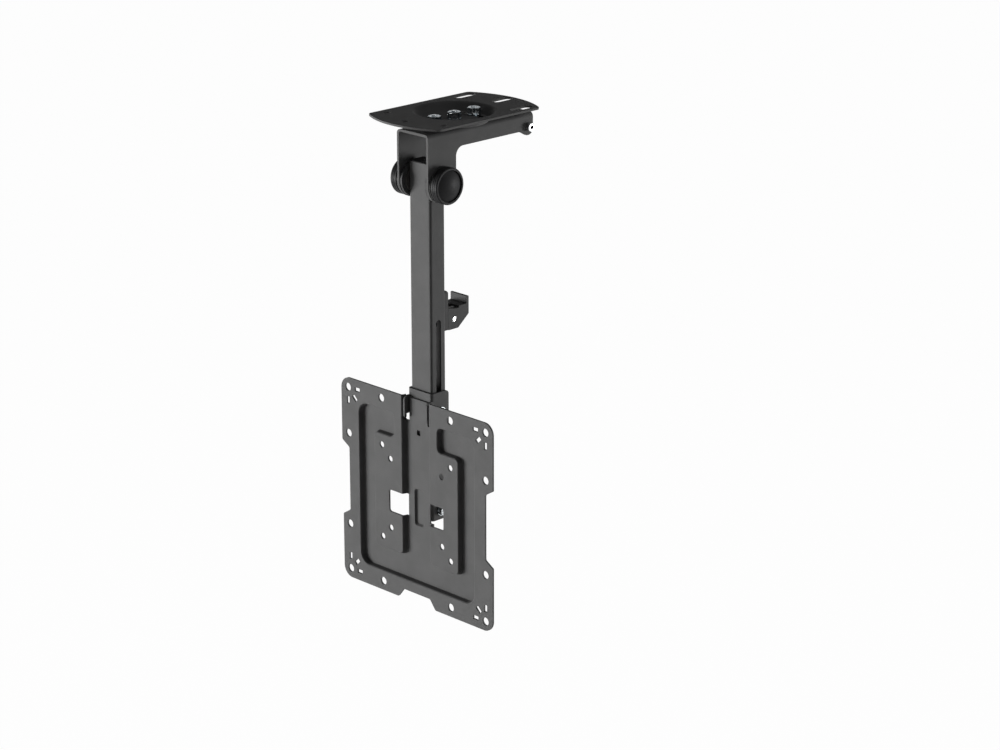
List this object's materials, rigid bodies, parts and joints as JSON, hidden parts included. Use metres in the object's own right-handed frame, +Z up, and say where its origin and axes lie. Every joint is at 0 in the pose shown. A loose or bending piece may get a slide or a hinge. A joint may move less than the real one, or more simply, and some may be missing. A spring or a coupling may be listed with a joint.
{
  "type": "fold-down ceiling mount for a flat screen",
  "caption": "Fold-down ceiling mount: a dished ceiling plate with swivel, a hinged pole with a catch, and a pressed screen plate on a height-adjustable sleeve.",
  "frame": {"origin": "middle of the face of the ceiling plate that lies on the ceiling, on the swivel axis", "axes": "+Z up into the ceiling, +Y from the screen side towards the bracket arm's free end, +X to the right; the screen plate faces -Y"},
  "size_m": [0.2202, 0.1705, 0.5066],
  "materials": {
    "ceiling_plate": "fine-textured matte black powder coat",
    "swivel_disc": "smooth black low-friction plastic",
    "swivel_bolt": "bright zinc plate",
    "guide_bolts": "bright zinc plate",
    "dish_washers": "bright zinc plate",
    "dish_nuts": "bright zinc plate",
    "hinge_bracket": "fine-textured matte black powder coat",
    "catch_pin": "polished, bright plated",
    "catch_pin_clips": "blackened spring steel",
    "hinge_bolt": "blackened steel, satin",
    "hinge_nut": "blackened steel, satin",
    "hinge_cap_right": "moulded black plastic",
    "hinge_cap_left": "moulded black plastic",
    "outer_discs": "blackened steel, satin",
    "friction_discs": "dense black friction lining",
    "inner_washers": "matte black coat",
    "inner_pads": "dense black friction lining",
    "hinge_bush": "turned steel",
    "pole": "fine-textured matte black powder coat",
    "pole_plug_top": "moulded black plastic",
    "pole_plug_bottom": "moulded black plastic",
    "catch_base": "fine-textured matte black powder coat",
    "catch_rivets": "matte black coat",
    "catch_hook": "matte black coat on cast metal",
    "catch_cross_pin": "bright plated",
    "height_sleeve": "fine-textured matte black powder coat",
    "height_bolts": "bright zinc plate",
    "height_nuts": "bright zinc plate",
    "height_washers": "bright zinc plate",
    "screen_plate": "fine-textured matte black powder coat"
  },
  "bodies": {
    "ceiling": {"ceiling_plate": "ceiling_plate"},
    "bracket": {"hinge_bracket": "hinge_bracket", "swivel_disc": "swivel_disc", "swivel_bolt": "swivel_bolt", "guide_bolts": "guide_bolts", "dish_washers": "dish_washers", "dish_nuts": "dish_nuts", "catch_pin": "catch_pin", "catch_pin_clips": "catch_pin_clips", "hinge_bolt": "hinge_bolt", "hinge_nut": "hinge_nut", "hinge_cap_right": "hinge_cap_right", "hinge_cap_left": "hinge_cap_left", "outer_discs": "outer_discs", "friction_discs": "friction_discs", "inner_washers": "inner_washers", "inner_pads": "inner_pads"},
    "pole": {"pole": "pole", "pole_plug_top": "pole_plug_top", "pole_plug_bottom": "pole_plug_bottom", "hinge_bush": "hinge_bush", "catch_base": "catch_base", "catch_rivets": "catch_rivets"},
    "hook": {"catch_hook": "catch_hook", "catch_cross_pin": "catch_cross_pin"},
    "screen": {"screen_plate": "screen_plate", "height_sleeve": "height_sleeve", "height_bolts": "height_bolts", "height_nuts": "height_nuts", "height_washers": "height_washers"}
  },
  "joints": [
    {"name": "swivel", "type": "hinge", "parent": "ceiling", "child": "bracket", "pos_m": [0, 0, 0], "axis": [0, 0, 1], "range_deg": [-45, 45]},
    {"name": "fold", "type": "hinge", "parent": "bracket", "child": "pole", "pos_m": [0, -0.038, -0.0642], "axis": [1, 0, 0], "range_deg": [0, 90]},
    {"name": "catch_slide", "type": "slide", "parent": "pole", "child": "hook", "axis": [0, 0, 1], "range_m": [0, 0.008]},
    {"name": "height_slide", "type": "slide", "parent": "pole", "child": "screen", "axis": [0, 0, 1], "range_m": [0, 0.093]}
  ]
}
